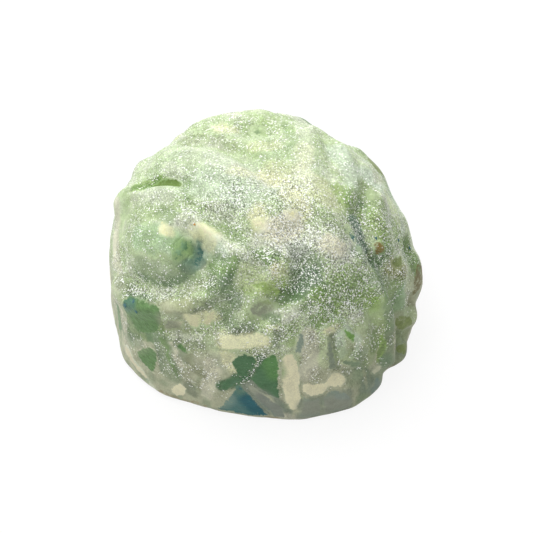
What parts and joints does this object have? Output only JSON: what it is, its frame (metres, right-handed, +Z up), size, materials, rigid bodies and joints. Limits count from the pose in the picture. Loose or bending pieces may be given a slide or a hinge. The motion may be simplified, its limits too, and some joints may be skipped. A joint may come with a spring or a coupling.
{
  "type": "shaving soap puck",
  "caption": "Domed hand-cast soap puck with ropy moulded folds and cut pieces of coloured soap bedded flush in its surface, for lathering with a shaving brush.",
  "frame": {"origin": "middle of the flat foot that the puck stands on", "axes": "+Z up from the foot to the crown, -Y towards the side with the green leaf pair, +X to its right"},
  "size_m": [0.0688, 0.0696, 0.0442],
  "materials": {
    "mint_soap": "satin, slightly translucent, dusted with mica glitter",
    "leaf_green_soap": "satin soap, slightly translucent",
    "dark_green_soap": "satin soap, slightly translucent",
    "teal_soap": "satin soap, slightly translucent",
    "cream_soap": "satin soap, slightly translucent",
    "grey_soap": "satin soap, slightly translucent",
    "olive_soap": "satin soap, slightly translucent",
    "amber_soap": "satin soap, slightly translucent"
  },
  "bodies": {
    "root": {"soap_base": "mint_soap", "left_rim_green": "leaf_green_soap", "left_rim_cream": "cream_soap", "left_leaf": "leaf_green_soap", "left_wedge": "leaf_green_soap", "left_cream_foot": "cream_soap", "left_grey": "grey_soap", "green_sliver": "leaf_green_soap", "cream_nub": "cream_soap", "cream_slant": "cream_soap", "cream_bar": "cream_soap", "dark_leaf_upper": "dark_green_soap", "dark_leaf_lower": "dark_green_soap", "dark_leaf_right": "dark_green_soap", "teal_wedge": "teal_soap", "grey_strip": "grey_soap", "cream_post": "cream_soap", "grey_foot": "grey_soap", "cream_step": "cream_soap", "grey_slab": "grey_soap", "grey_chip": "grey_soap", "cream_chip": "cream_soap", "grey_stripe": "grey_soap", "ring_leaf": "leaf_green_soap", "dark_crescent": "dark_green_soap", "teal_corner": "teal_soap", "cream_corner": "cream_soap", "edge_green": "leaf_green_soap", "flank_olive": "olive_soap", "flank_olive_low": "olive_soap", "flank_amber": "amber_soap", "lobe_amber": "amber_soap", "lobe_olive": "olive_soap", "hollow_grey": "grey_soap", "hollow_green": "leaf_green_soap", "boss_green": "dark_green_soap", "boss_teal": "teal_soap", "boss_cream": "cream_soap", "fold_cream": "cream_soap", "crown_cream": "cream_soap", "crest_cream": "cream_soap", "crease_olive": "olive_soap", "groove_teal": "teal_soap", "lobe_cream": "cream_soap", "pit_green": "dark_green_soap", "side_wedge": "leaf_green_soap", "side_cream": "cream_soap", "back_olive": "olive_soap", "back_cream_bar": "cream_soap", "back_crown_green": "leaf_green_soap", "back_teal": "teal_soap", "back_leaf": "dark_green_soap", "back_grey": "grey_soap", "back_cream_chip": "cream_soap", "back_cream_post": "cream_soap", "back_left_leaf": "leaf_green_soap", "back_left_cream": "cream_soap"}
  },
  "joints": []
}
